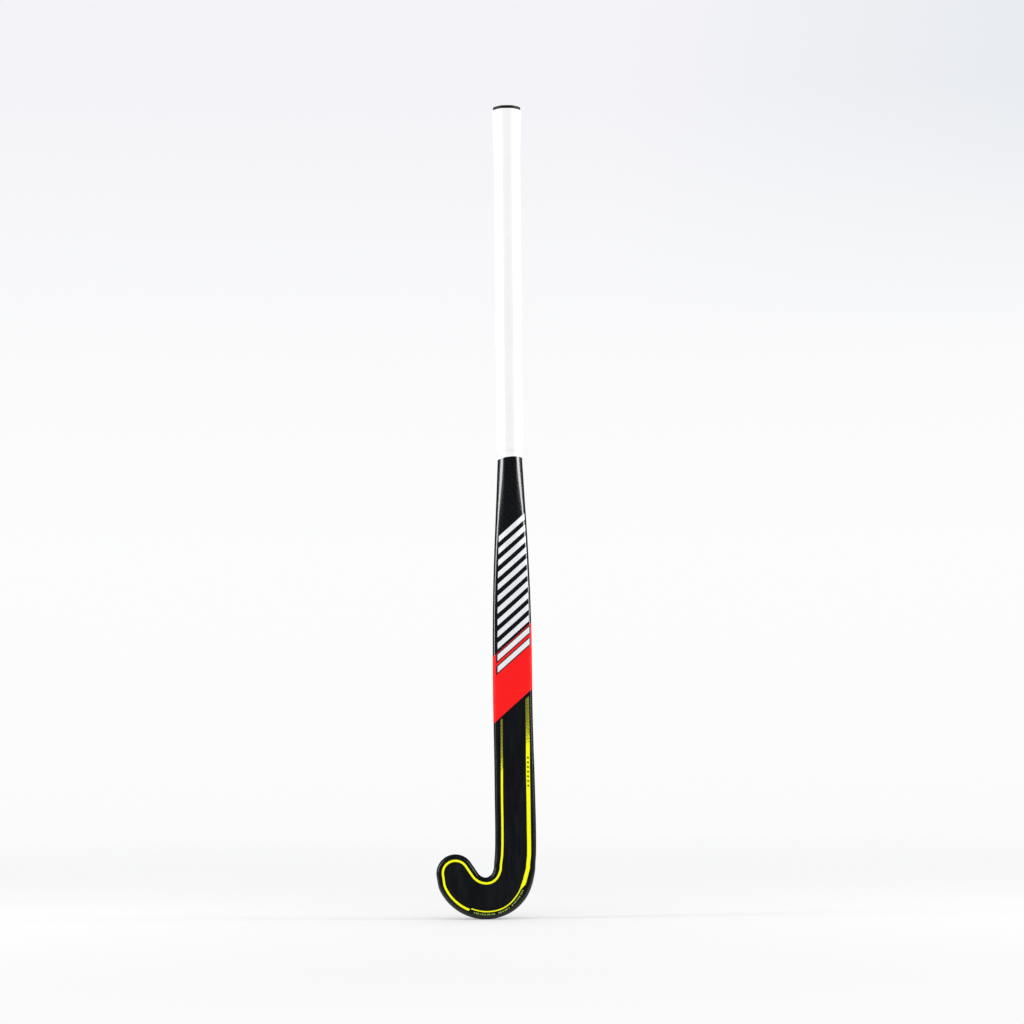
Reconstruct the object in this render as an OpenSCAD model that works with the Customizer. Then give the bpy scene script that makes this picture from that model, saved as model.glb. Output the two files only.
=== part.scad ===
// Field hockey stick: a moulded composite tube with a hooked head, a flat playing face and a wrapped
// handle. Millimetres. The handle stands upright along Z, the playing face looks along -Y and the toe
// points to -X. The origin is the lowest point of the head, where the stick touches the ground.

/* [Stick] */
// Length from the sole of the head to the end of the butt
stick_length = 927; // [900:1:965]
// Distance of the handle's centre line from the lowest point of the head, towards the heel
handle_offset = 31.3; // [30:0.1:33]

/* [Head] */
// Radius of the outer curve that makes the sole and the front of the toe
head_radius = 57.5; // [57:0.5:60]
// Distance of the crook's toe side from the middle of that curve
throat_radius = 11.2; // [10.5:0.1:11.5]
// Radius of the rounded end of the toe
toe_radius = 21.1; // [20.5:0.1:21.5]
// Angle by which the toe's centre lies below the crook's centre
toe_drop = 12.4; // [10:0.1:14]
// Distance by which the heel lies inside the outer curve
heel_cut = 2.1; // [1:0.1:2.5]
// Thickness of the head, face to back
head_thickness = 22; // [20:0.5:24]
// Width of the rounding between the face and the edges
face_rounding = 5; // [4:0.5:6]

/* [Bow] */
// Height at which the shaft starts to curve towards the face
bow_top = 350; // [320:5:380]
// Height below which the stick is straight again
bow_bottom = 100; // [90:5:120]
// Angle by which the head leans forward from the handle
bow_angle = 9.2; // [6:0.1:9.5]

/* [Handle] */
// Width of the bare eight-sided handle, flat to flat
handle_width = 26; // [25:0.5:27]
// Height at which the shaft has narrowed to the handle
handle_bottom = 545; // [535:1:555]
// Thickness of the cushion layer under the grip
underlay_thickness = 0.8; // [0.6:0.1:1]
// Thickness of the grip wrap
grip_thickness = 1.2; // [1:0.1:1.5]
// Length of the flare at the butt
flare_length = 112; // [90:1:130]
// Extra thickness that the flare has at the butt
flare_rise = 1.9; // [1:0.1:2.5]
// Thickness of the visible rim of the end cap
cap_rim = 3.6; // [2:0.1:4]

/* [Laminate] */
// Wall thickness of the composite tube
wall = 2.8; // [2.4:0.1:3.2]
// Thickness of the web that divides the shaft into two cells
web_thickness = 2.4; // [2:0.1:3]
// Thickness of the impact ply behind the face
ply_thickness = 0.6; // [0.4:0.1:0.8]

/* [Graphics] */
// Thickness of the printed films
film = 0.2; // [0.15:0.05:0.3]
// Slant of the red band and the bars, from level
slant = 41.5; // [35:0.5:48]
// Height of the middle of the red band
band_height = 273; // [268:1:280]
// Height that the red band covers along the shaft
band_depth = 75; // [60:1:80]
// Number of slanted bars on the shaft
bar_count = 12; // [6:1:12]
// Width of the pinstripe along the crook and the toe
thin_stripe = 2.4; // [2:0.1:3]
// Width of the pinstripe along the heel side of the shaft
thick_stripe = 4.3; // [3.5:0.1:5]

/* [Hidden] */

// Shape of the head
head_centre = [0, head_radius];
heel_width = head_radius - throat_radius;
toe_cut = 1.6;
toe_reach = head_radius - toe_cut - toe_radius;
toe_turn = 180 - toe_drop;
flank_angle = acos((throat_radius + toe_radius) / toe_reach);
flank_turn = toe_turn - flank_angle;
toe_start = 153;
heel_shape = [[0, 1], [12, 1.12], [24, 0.86], [32, 0.55], [40, 0.3], [48, 0.16], [60, 0]];
throat_shifts = [
    [0, -2], [24, -1.9], [40, -1.2], [56, -0.45], [72, 0.3], [92, 0.9], [112, 0.65], [128, 0.25],
    [flank_turn, 0]
];
arc_step = 9;
cap_turns = [15, 30, 45, 60, 74, 85];

// Shape of the shaft: how the width, the thickness and the sideways drift change with height
sides = 24;
handle_side = handle_width / 2;
face_depth = 6;
octagon_start = 325;
octagon_end = 523;
shell_top = stick_length - cap_rim;
width_share = [
    [head_radius, 0.995], [85, 0.98], [125, 0.97], [160, 0.945], [200, 0.915], [300, 0.9],
    [320, 0.885], [363, 0.8], [390, 0.71], [420, 0.585], [450, 0.435], [477, 0.295], [500, 0.185],
    [523, 0.07], [handle_bottom, 0]
];
drift_share = [
    [head_radius, 0.33], [70, 0.64], [85, 0.77], [100, 0.785], [125, 0.7], [160, 0.58],
    [200, 0.36], [250, 0.19], [420, 0.15], [477, 0.065], [523, 0]
];
heel_centre = (head_radius + throat_radius) / 2;
ring_spacing = 15;
ring_count = 31;
function ring_height(i) = handle_bottom - i * ring_spacing;
shaft_heights = concat([shell_top, 735], [for (i = [0:ring_count]) ring_height(i)]);

// Levels of the inner and outer handle parts
core_heights = [110, 95, 80, 65];
web_bottom = 116;
web_top = 505;
stem_length = 44;
stem_radius = 6;
damper_length = 25;
handle_gap = 3;
cap_overhang = 2.9;
end_band_thickness = 0.4;
grip_bottom = 525.3;
grip_edge_rise = 3;
grip_edge_side = 295;
end_band_drop = 9;
flare_bottom = shell_top - flare_length;

// Places of the graphics: heights, turns round the head, and distances in from the edge
toe_insets = [[head_radius, 7.7], [72, 8.2], [140, 8.25], [180, 8.65], [230, 9.2]];
crook_insets = [
    [0, 7.7], [32, 7.55], [64, 7], [80, 6.4], [96, 5.9], [112, 5.95], [flank_turn, 6.5],
    [toe_turn, 6.6]
];
toe_tip_insets = [[0, 6.6], [120, 6.9], [180, 7.5]];
front_insets = [[111, 7.25], [140, 7.2], [toe_turn, 7.5]];
heel_insets = [
    [head_radius, 8.2], [70, 7.9], [100, 8.1], [125, 7.85], [160, 7.4], [180, 6.85], [200, 6.25],
    [250, 5.9]
];
heel_end_insets = [[0, 8.2], [8, 9], [16, 9.4], [26, 9.6], [33, 9.35]];
sole_insets = [
    [26, 11.1], [32, 10.85], [40, 10.45], [48, 9.94], [56, 9.23], [64, 8.64], [72, 8.36],
    [88, 8.6], [110, 9.3]
];
toe_stripe_top = 158;
toe_stripe_end = 111.5;
toe_fade_top = 221;
heel_stripe_top = 188;
heel_stripe_ends = [24, 32.6];
heel_fade_top = 245;
sole_stripe_width = 1.3;
sole_stripe_end = 109.5;
fade_pitch = 3.4;
bars_on_band = 2;
bar_depth = 6.8;
bar_pitch = 13.2;
bar_bottom = band_height + band_depth / 2 - 19;
bar_start = 222;
bar_end = 331;
back_bar_end = 150;
keyline = 1.4;
sole_mark_count = 22;
sole_mark_start = 32;
sole_mark_end = 104;
sole_mark_turn = 1.8;
shaft_mark_count = 7;
shaft_mark_bottom = 145.5;
shaft_mark_pitch = 5.2;

black = "#16181b";
red = "#ff2323";
yellow = "#f4f20c";

// ---- Curves -----------------------------------------------------------------------------------

function mix(a, b, share) = a + (b - a) * share;
function smooth(t) = let (s = min(1, max(0, t))) s * s * (3 - 2 * s);

// Quarter circle that starts at an edge and is level one rounding further in
function rounding(s) = s <= 0 ? 0 : s >= 1 ? 1 : sqrt(1 - pow(1 - s, 2));

// How far forward of the handle the stick has curved at height z
function lean(z) =
    let (span = bow_top - bow_bottom, slope = tan(bow_angle))
    z >= bow_top ? 0
    : z >= bow_bottom ? slope * pow(bow_top - z, 2) / (2 * span)
    : slope * (span / 2 + bow_bottom - z);
function middle_y(z) = lean(0) - lean(z);

function shaft_half(z) = mix(handle_width, heel_width, lookup(z, width_share)) / 2;
function shaft_x(z) = mix(handle_offset, heel_centre, lookup(z, drift_share));
function octagon_share(z) = smooth((z - octagon_start) / (octagon_end - octagon_start));
function half_depth(z) = mix(head_thickness / 2, shaft_half(z), octagon_share(z));

// ---- Sections ---------------------------------------------------------------------------------
// A section is seen as [across, depth]. Angle 0 is the outer edge on the heel side, 90 the back,
// 180 the inner edge and 270 the middle of the face. grow moves the whole surface outwards.

function d_section(a, half, grow, front, back) =
    let (
        across = half * cos(a),
        shift = head_thickness / 2 - face_depth,
        round = max(1, face_rounding + grow)
    )
    a <= 180
    ? [across, (head_thickness - face_depth + grow) * back * pow(sin(a), 0.8) - shift]
    : [across, -(face_depth + grow) * front * rounding((half - abs(across)) / round) - shift];

function octagon_section(a, half) =
    let (reach = half / cos((a + 22.5) % 45 - 22.5)) [reach * cos(a), reach * sin(a)];

// The section is a polygon with corners at every step of 360 / sides
function shaft_section(z, a, grow) =
    let (step = 360 / sides, i = floor(a / step))
    mix(shaft_corner(z, i * step, grow), shaft_corner(z, (i + 1) * step, grow), a / step - i);
function shaft_corner(z, a, grow) =
    mix(
        d_section(a, shaft_half(z) + grow, grow, 1, 1),
        octagon_section(a, shaft_half(z) + grow),
        octagon_share(z)
    );

// A point of the shaft's surface, at height z and section angle a
function shaft_point(z, a, grow) =
    let (p = shaft_section(z, a, grow)) [shaft_x(z) + p[0], middle_y(z) + p[1], z];

// Distances of the outline from the middle of the head's outer curve
function outer_reach(turn) =
    head_radius - heel_cut * lookup(turn, heel_shape)
    - toe_cut * smooth((turn - toe_start) / (toe_turn - toe_start));
function inner_reach(turn, grow) =
    (throat_radius + lookup(turn, throat_shifts) - grow) / cos(max(0, turn - flank_turn));

// A stretch across the head: [middle, direction towards the outer edge, half width, front, back]
function bend_station(turn, grow) =
    let (
        out = [cos(turn), -sin(turn)],
        inner = inner_reach(turn, grow),
        outer = outer_reach(turn) + grow
    )
    [head_centre + out * (outer + inner) / 2, out, (outer - inner) / 2, 1, 1];

function cap_station(turn, grow) =
    let (
        out = [cos(toe_turn), -sin(toe_turn)],
        onward = [-sin(toe_turn), -cos(toe_turn)],
        r = toe_radius + grow,
        d = r * sin(turn),
        outer = r * cos(turn),
        flank = (r - d * sin(flank_angle)) / cos(flank_angle),
        inner = d < r * sin(flank_angle) ? flank : outer,
        round = max(1, face_rounding + grow)
    )
    [
        head_centre + out * (toe_reach + (outer - inner) / 2) + onward * d, out,
        (outer + inner) / 2, rounding((r - d) / round), cos(turn)
    ];

function head_point(station, a, grow) =
    let (
        p = d_section(a, station[2], grow, station[3], station[4]),
        flat = station[0] + station[1] * p[0]
    )
    [flat[0], middle_y(flat[1]) + p[1], flat[1]];

function bend_turns(step) = [for (t = [0:step:toe_turn]) t];
function head_stations(grow, cap_end) =
    concat(
        [for (t = bend_turns(arc_step)) bend_station(t, grow)],
        [bend_station(toe_turn, grow)],
        [for (t = cap_turns) if (t <= cap_end) cap_station(t, grow)]
    );

// ---- Rings and solids -------------------------------------------------------------------------

function angles() = [for (i = [0:sides - 1]) 360 * i / sides];
function shaft_ring(z, grow) = [for (a = angles()) shaft_point(z, a, grow)];
function shaft_rings(top, bottom, grow) =
    [for (z = shaft_heights) if (z <= top && z >= bottom) shaft_ring(z, grow)];
function head_rings(grow) =
    [for (s = head_stations(grow, 90)) [for (a = angles()) head_point(s, a, grow)]];
function stick_rings(top, grow) = concat(shaft_rings(top, head_radius, grow), head_rings(grow));
function reversed(list) = [for (i = [len(list) - 1:-1:0]) list[i]];

// A closed solid through rings with equal numbers of points. A loop joins the last ring to the first.
// The second half of each ring's points has the other diagonal, so that a film keeps its thickness.
module loft(rings, loop = false) {
    n = len(rings[0]);
    m = len(rings);
    walls = [
        for (i = [0:m - (loop ? 1 : 2)], j = [0:n - 1])
            let (
                k = (i + 1) % m,
                l = (j + 1) % n,
                quad = [i * n + j, k * n + j, k * n + l, i * n + l],
                turn = j < n / 2 ? [0, 1, 2, 3] : [1, 2, 3, 0]
            )
            each [
                [quad[turn[0]], quad[turn[1]], quad[turn[2]]],
                [quad[turn[0]], quad[turn[2]], quad[turn[3]]]
            ]
    ];
    ends = [[for (j = [0:n - 1]) j], [for (j = [n - 1:-1:0]) (m - 1) * n + j]];
    polyhedron([for (ring = rings) each ring], loop ? walls : concat(walls, ends));
}

// A tube around the shaft between two surfaces; low and high give the height at each angle
module sleeve(lows, highs, inner, outer, rows) {
    list = [
        for (i = [0:sides - 1])
            let (a = 360 * i / sides)
            concat(
                [
                    for (r = [0:rows])
                        let (z = mix(lows[i], highs[i], r / rows))
                        shaft_point(z, a, outer + flare(z))
                ],
                [
                    for (r = [rows:-1:0])
                        let (z = mix(lows[i], highs[i], r / rows))
                        shaft_point(z, a, inner + flare(z))
                ]
            )
    ];
    loft(reversed(list), loop = true);
}

// Extra thickness of the wrap towards the butt
function flare(z) = flare_rise * pow(max(0, z - flare_bottom) / flare_length, 3.5);

// Heights around the shaft on a plane that rises towards the heel side, along a slightly skewed
// lower edge of the wrap, and level
function slanted(z) = [for (a = angles()) z + tan(slant) * shaft_half(z) * cos(a)];
function skewed(z) = [for (a = angles()) z + grip_edge_rise * cos(a - grip_edge_side)];
function level(z) = [for (a = angles()) z];

// A film on the front or back of the shaft, from one section angle to another
module shaft_patch(z, depth, from, to, grow) {
    step = 360 / sides;
    inner = [for (i = [0:sides - 1]) if (i * step > from && i * step < to) i * step];
    stations = [
        for (a = concat([from], inner, [to]))
            let (
                middle = z + tan(slant) * shaft_half(z) * cos(a),
                low = middle - depth / 2,
                high = middle + depth / 2
            )
            [
                shaft_point(low, a, grow), shaft_point(high, a, grow),
                shaft_point(high, a, grow + film), shaft_point(low, a, grow + film)
            ]
    ];
    loft(stations);
}

// A film on the flat face between two lines of [x, z] points
module face_ribbon(left, right) {
    stations = [
        for (i = [0:len(left) - 1])
            [
                on_face(left[i], 0), on_face(left[i], film),
                on_face(right[i], film), on_face(right[i], 0)
            ]
    ];
    loft(stations);
}
function on_face(p, proud) = [p[0], middle_y(p[1]) - half_depth(p[1]) - proud, p[1]];

// Lines on the face, parallel to the edge: insets gives the distance in from it at each height or
// turn, shift is added to that, and side is 1 for the heel side or -1 for the toe side
function shaft_line(side, shift, insets, top, bottom, steps) =
    [
        for (i = [0:steps])
            let (z = mix(top, bottom, i / steps))
            [shaft_x(z) + side * (shaft_half(z) - lookup(z, insets) - shift), z]
    ];
function bend_line(side, shift, insets, from, to, steps) =
    [
        for (i = [0:steps])
            let (t = mix(from, to, i / steps))
            station_edge(bend_station(t, -lookup(t, insets) - shift), side)
    ];
function station_edge(station, side) = station[0] + station[1] * station[2] * side;

// ---- Composite body ---------------------------------------------------------------------------

module laminate_shell() {
    color(black)
        loft(concat(reversed(stick_rings(shell_top, 0)), stick_rings(shell_top, -wall)));
}

// Rib that joins the face wall to the back wall along the middle of the shaft
module shaft_web() {
    heights = [for (z = shaft_heights) if (z < web_top && z > web_bottom) z];
    color("#2b2d30")
        loft([
            for (z = concat([web_top], heights, [web_bottom]))
                let (x = shaft_x(z), y = middle_y(z), d = half_depth(z) - wall, w = web_thickness / 2)
                [[x - w, y - d, z], [x - w, y + d - 0.2, z], [x + w, y + d - 0.2, z], [x + w, y - d, z]]
        ]);
}

// Foam that fills the head behind the impact ply, clear of the insert along the sole
module head_core() {
    color("#d9c58c")
        loft(reversed([for (s = core_stations()) [for (a = angles()) core_point(s, a)]]));
}
function core_stations() =
    concat(
        [for (z = core_heights) [[shaft_x(z), z], [1, 0], shaft_half(z) - wall, 1, 1]],
        head_stations(-wall, 90)
    );
function core_point(station, a) =
    let (
        p = head_point(station, a, -wall),
        sole = 5.2 * max(0, cos(a)) * min(1, station[3]),
        pull = station[1] * sole,
        x = p[0] - pull[0],
        z = p[2] - pull[1],
        front = middle_y(z) - head_thickness / 2 + wall + ply_thickness
    )
    [x, max(p[1] - middle_y(p[2]) + middle_y(z), front), z];

// Woven impact ply between the face wall and the foam
module face_ply() {
    stations = concat(
        [for (z = core_heights) [[shaft_x(z), z], [1, 0], shaft_half(z) - wall]],
        head_stations(-wall, 45)
    );
    margin = 3.4;
    color("#c9b23a")
        loft([
            for (s = stations)
                let (a = s[0] - s[1] * (s[2] - margin), b = s[0] + s[1] * (s[2] - margin))
                [behind_face(a, 0), behind_face(a, 1), behind_face(b, 1), behind_face(b, 0)]
        ]);
}
function behind_face(p, plies) =
    [p[0], middle_y(p[1]) - head_thickness / 2 + wall + plies * ply_thickness, p[1]];

// Elastomer strip moulded in along the heel and the sole
module heel_insert() {
    shift = head_thickness / 2 - face_depth;
    outer = head_radius - wall - 1.1;
    inner = outer - 3.6;
    color("#3f7f4a")
        loft([
            for (t = [44:9:143])
                let (out = [cos(t), -sin(t)])
                [
                    for (c = [[inner, -1.6], [inner, 4.5], [outer, 4.5], [outer, -1.6]])
                        let (p = head_centre + out * c[0]) [p[0], middle_y(p[1]) + c[1] - shift, p[1]]
                ]
        ]);
}

// ---- Handle -----------------------------------------------------------------------------------

// Outline of the handle, grown outwards, at its straight upper part
module handle_outline(grow) {
    polygon([for (a = angles()) octagon_section(a, handle_side + grow)]);
}
module on_handle(z) {
    translate([handle_offset, middle_y(z), z]) children();
}

// Foam inside the straight part of the handle tube
module handle_core() {
    top = shell_top - stem_length - handle_gap;
    color("#e3d6ab")
        on_handle(handle_bottom) linear_extrude(top - handle_bottom) handle_outline(-wall);
}

// Rubber sleeve that holds the stem of the end cap and damps vibration
module damper_sleeve() {
    color("#50545a")
        on_handle(shell_top - stem_length)
            linear_extrude(damper_length)
                difference() {
                    handle_outline(-wall);
                    circle(r = stem_radius, $fn = 48);
                }
}

// Rim and stem that close the butt
module end_cap() {
    color("#101113") {
        on_handle(shell_top) linear_extrude(cap_rim) handle_outline(cap_overhang);
        on_handle(shell_top - stem_length) cylinder(r = stem_radius, h = stem_length, $fn = 48);
    }
}

// Tapered build-up under the grip that makes the butt flare
module butt_collar() {
    heights = [for (i = [0:6]) mix(flare_bottom + 20, shell_top, i / 6)];
    color("#8f9296")
        loft(
            concat(
                [for (z = heights) shaft_ring(z, flare(z))],
                [for (z = reversed(heights)) shaft_ring(z, 0)]
            ),
            loop = true
        );
}

// Thin cushion wrapped on the handle under the grip
module grip_underlay() {
    color("#c9ccd2")
        sleeve(
            skewed(grip_bottom), level(shell_top), 0, underlay_thickness, 12
        );
}

// Soft outer wrap
module grip_tape() {
    color("#f6f6f4")
        sleeve(
            skewed(grip_bottom), level(shell_top),
            underlay_thickness, underlay_thickness + grip_thickness, 12
        );
}

// Finishing tape that holds the lower end of the wrap
module grip_end_band() {
    color("#fbfbfb")
        sleeve(
            skewed(grip_bottom - end_band_drop), skewed(grip_bottom), 0, end_band_thickness, 1
        );
}

// ---- Graphics ---------------------------------------------------------------------------------

module red_band() {
    color(red)
        sleeve(
            slanted(band_height - band_depth / 2), slanted(band_height + band_depth / 2),
            0, film, 5
        );
}

// Black margins that set the lowest bars off from the red band
module bar_keylines() {
    color(black)
        for (i = [0:bars_on_band - 1])
            shaft_patch(bar_height(i), bar_depth + 2 * keyline, bar_start - 7, bar_end + 7, film);
}
module shaft_bars() {
    color("white")
        for (i = [0:bar_count - 1])
            shaft_patch(bar_height(i), bar_depth, bar_start, bar_end, i < bars_on_band ? 2 * film : 0);
}
module back_bars() {
    color("white")
        for (i = [bars_on_band:bar_count - 1])
            shaft_patch(bar_height(i), bar_depth, 180 - back_bar_end, back_bar_end, 0);
}
function bar_height(i) = bar_bottom + i * bar_pitch;

// Pinstripe down the shaft, through the crook and round the toe
module toe_stripe() {
    color(yellow) face_ribbon(toe_line(thin_stripe / 2), toe_line(-thin_stripe / 2));
}
function toe_line(shift) =
    concat(
        shaft_line(-1, shift, toe_insets, toe_stripe_top, head_radius + 2, 9),
        bend_line(-1, shift, crook_insets, 0, toe_turn, 18),
        [for (t = cap_turns) tip_point(t, t, -1, shift)],
        [for (t = reversed(cap_turns)) tip_point(t, 180 - t, 1, shift)],
        bend_line(1, shift, front_insets, toe_turn, toe_stripe_end, 8)
    );

function tip_point(turn, progress, side, shift) =
    station_edge(cap_station(turn, -shift - lookup(progress, toe_tip_insets)), side);

// Broad pinstripe down the heel side of the shaft
module heel_stripe() {
    half = thick_stripe / 2;
    color(yellow)
        face_ribbon(heel_line(-half, heel_stripe_ends[0]), heel_line(half, heel_stripe_ends[1]));
}
function heel_line(shift, end) =
    concat(
        shaft_line(1, shift, heel_insets, heel_stripe_top, head_radius + 2, 11),
        bend_line(1, shift, heel_end_insets, 0, end, 6)
    );

// Thin line along the sole
module sole_stripe() {
    half = sole_stripe_width / 2;
    color(yellow)
        face_ribbon(
            bend_line(1, -half, sole_insets, heel_stripe_ends[1] + 0.2, sole_stripe_end, 16),
            bend_line(1, half, sole_insets, heel_stripe_ends[1] + 0.2, sole_stripe_end, 16)
        );
}

// Slanted dashes, shorter towards the top, where a pinstripe fades out
module stripe_fade(side, insets, width, bottom, top) {
    count = round((top - bottom) / fade_pitch);
    for (i = [0:count - 1])
        let (
            low = bottom + 0.6 + i * fade_pitch,
            dash = fade_pitch * mix(0.75, 0.4, i / count),
            rise = width * side * tan(slant) / 2
        )
        face_ribbon(
            [for (z = [low - rise, low + dash - rise]) fade_point(side, insets, -width / 2, z)],
            [for (z = [low + rise, low + dash + rise]) fade_point(side, insets, width / 2, z)]
        );
}
function fade_point(side, insets, shift, z) =
    let (inset = lookup(z, insets) + shift * -side) [shaft_x(z) + side * (shaft_half(z) - inset), z];
module toe_stripe_fade() {
    color(yellow) stripe_fade(-1, toe_insets, thin_stripe, toe_stripe_top, toe_fade_top);
}
module heel_stripe_fade() {
    color(yellow) stripe_fade(1, heel_insets, thick_stripe, heel_stripe_top, heel_fade_top);
}

// Row of small dashes between the sole stripe and the edge
module sole_marks() {
    color(yellow)
        for (i = [0:sole_mark_count - 1])
            let (t = mix(sole_mark_start, sole_mark_end, i / (sole_mark_count - 1)))
            face_ribbon(
                bend_line(1, -3.9, sole_insets, t, t + sole_mark_turn, 1),
                bend_line(1, -2.3, sole_insets, t, t + sole_mark_turn, 1)
            );
}

// Row of small black ticks on the broad pinstripe
module shaft_marks() {
    color(black)
        for (i = [0:shaft_mark_count - 1])
            let (z = shaft_mark_bottom + i * shaft_mark_pitch)
            translate([0, -film, 0])
                face_ribbon(
                    [for (h = [z, z + 1.8]) fade_point(1, heel_insets, -0.9, h)],
                    [for (h = [z, z + 1.8]) fade_point(1, heel_insets, 0.9, h)]
                );
}

laminate_shell();
shaft_web();
head_core();
face_ply();
heel_insert();
handle_core();
damper_sleeve();
end_cap();
butt_collar();
grip_underlay();
grip_tape();
grip_end_band();
red_band();
bar_keylines();
shaft_bars();
toe_stripe();
sole_stripe();
heel_stripe();
toe_stripe_fade();
heel_stripe_fade();
sole_marks();
shaft_marks();
back_bars();
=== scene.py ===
"""Field hockey stick: a moulded carbon body, a wrapped white handle and printed graphics.

Lengths in the tables and curves are millimetres, as in the CAD source; meshes are made in metres.
Section angle 0 is the edge on the heel side, 90 the back, 180 the toe side and 270 the face.
"""

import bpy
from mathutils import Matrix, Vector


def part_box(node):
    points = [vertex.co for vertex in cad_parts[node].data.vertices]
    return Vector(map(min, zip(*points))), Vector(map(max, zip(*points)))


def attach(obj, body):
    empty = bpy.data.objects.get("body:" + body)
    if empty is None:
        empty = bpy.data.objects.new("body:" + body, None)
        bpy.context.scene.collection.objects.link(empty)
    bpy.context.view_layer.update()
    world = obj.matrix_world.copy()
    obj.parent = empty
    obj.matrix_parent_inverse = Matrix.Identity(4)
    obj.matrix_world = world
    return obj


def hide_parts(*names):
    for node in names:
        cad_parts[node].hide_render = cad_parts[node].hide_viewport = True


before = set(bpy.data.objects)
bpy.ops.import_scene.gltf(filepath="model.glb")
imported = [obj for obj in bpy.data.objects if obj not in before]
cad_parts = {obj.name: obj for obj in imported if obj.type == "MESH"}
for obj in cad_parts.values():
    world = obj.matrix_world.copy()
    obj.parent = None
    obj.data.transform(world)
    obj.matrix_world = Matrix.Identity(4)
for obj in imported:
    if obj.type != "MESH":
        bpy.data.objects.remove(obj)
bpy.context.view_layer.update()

import math

import bmesh
import bpy
import numpy as np
from mathutils import Matrix

MM = 0.001


def box_mm(node):
    """Lowest and highest corner of a CAD node, in millimetres."""
    return [np.array(corner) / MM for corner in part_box(node)]


# ---- Sizes ------------------------------------------------------------------------------------
CAP_LOW, CAP_HIGH = box_mm("end_cap")
BAND_LOW, BAND_HIGH = box_mm("red_band")
TOP = CAP_HIGH[2]
SHELL_TOP = box_mm("laminate_shell")[1][2]
CAP_OVERHANG = 2.9
CAP_STEM_RADIUS = 6.0
HANDLE_X, HANDLE_Y = (CAP_LOW + CAP_HIGH)[:2] / 2
HANDLE_HALF = (CAP_HIGH - CAP_LOW)[0] / 2 - CAP_OVERHANG

HEAD_RADIUS = 57.5
THROAT_RADIUS = 11.2
TOE_RADIUS = 21.1
TOE_TURN = 167.6
HEEL_CUT, TOE_CUT = 2.1, 1.6
TOE_START = 153.0
TOE_REACH = HEAD_RADIUS - TOE_CUT - TOE_RADIUS
FLANK_ANGLE = math.degrees(math.acos((THROAT_RADIUS + TOE_RADIUS) / TOE_REACH))
FLANK_TURN = TOE_TURN - FLANK_ANGLE
HEEL_HALF = (HEAD_RADIUS - THROAT_RADIUS) / 2
HEEL_X = (HEAD_RADIUS + THROAT_RADIUS) / 2
THICKNESS = 22.0
FACE_DEPTH = 6.0
FACE_ROUNDING = 5.0
LEAST_ROUNDING = 1.0
EDGE_SHIFT = THICKNESS / 2 - FACE_DEPTH
BACK_FULLNESS = 0.8
WALL = 2.8

BOW_TOP, BOW_BOTTOM, BOW_ANGLE = 350.0, 100.0, 9.2
OCTAGON_START, OCTAGON_END = 325.0, 523.0
HANDLE_BOTTOM = 545.0
GRIP_BOTTOM = 525.3
UNDERLAY, GRIP = 0.8, 1.2
FLARE_LENGTH, FLARE_RISE = 112.0, 1.9

RING_POINTS = 128
BAND_MIDDLE = (BAND_LOW[2] + BAND_HIGH[2]) / 2
BAND_DEPTH = 75.0
SLANT = math.tan(math.radians(41.5))
# How far a printed film stands out of the shell, and how far it reaches into it
PROUD, SUNK = 0.12, 0.05


# ---- Curves -----------------------------------------------------------------------------------
def cos(degrees):
    return np.cos(np.radians(degrees))


def sin(degrees):
    return np.sin(np.radians(degrees))


def mix(a, b, share):
    """The value a share of the way from a to b."""
    return a + (b - a) * share


def smooth(t):
    """Eased step from 0 to 1."""
    s = np.clip(t, 0, 1)
    return s * s * (3 - 2 * s)


def rounding(s):
    """Quarter circle that starts at an edge and is level one rounding further in."""
    return np.sqrt(1 - (1 - np.clip(s, 0, 1)) ** 2)


def curve(table):
    """Smooth monotone curve through a table's points, level at both ends."""
    x, y = np.array(table, float).T
    step, rise = np.diff(x), np.diff(y)
    slope = rise / step
    tangent = np.zeros(len(x))
    before, after = slope[:-1], slope[1:]
    inner = before * after > 0
    w1, w2 = 2 * step[1:] + step[:-1], step[1:] + 2 * step[:-1]
    tangent[1:-1][inner] = (w1 + w2)[inner] / (w1[inner] / before[inner] + w2[inner] / after[inner])

    def at(q):
        q = np.clip(q, x[0], x[-1])
        i = np.clip(np.searchsorted(x, q, side="right") - 1, 0, len(step) - 1)
        t = (q - x[i]) / step[i]
        return (
            y[i] + rise[i] * t * t * (3 - 2 * t)
            + step[i] * tangent[i] * t * (1 - t) ** 2
            - step[i] * tangent[i + 1] * t * t * (1 - t)
        )

    return at


# Share of the way from the handle's half width to the heel's, by height
width_share = curve([
    [HEAD_RADIUS, 0.995], [85, 0.98], [125, 0.97], [160, 0.945], [200, 0.915], [300, 0.9],
    [320, 0.885], [363, 0.8], [390, 0.71], [420, 0.585], [450, 0.435], [477, 0.295],
    [500, 0.185], [523, 0.07], [HANDLE_BOTTOM, 0],
])
# Share of the way from the handle's centre line to the heel's, by height
drift_share = curve([
    [HEAD_RADIUS, 0.33], [70, 0.64], [85, 0.77], [100, 0.785], [125, 0.7], [160, 0.58],
    [200, 0.36], [250, 0.19], [420, 0.15], [477, 0.065], [523, 0],
])
# Share of the heel's cut, and shift of the throat's line in mm, by turn round the head
heel_shape = curve([
    [0, 1], [12, 1.12], [24, 0.86], [32, 0.55], [40, 0.3], [48, 0.16], [60, 0], [61, 0],
])
throat_shift = curve([
    [0, -2], [24, -1.9], [40, -1.2], [56, -0.45], [72, 0.3], [92, 0.9], [112, 0.65],
    [128, 0.25], [FLANK_TURN, 0],
])


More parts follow.
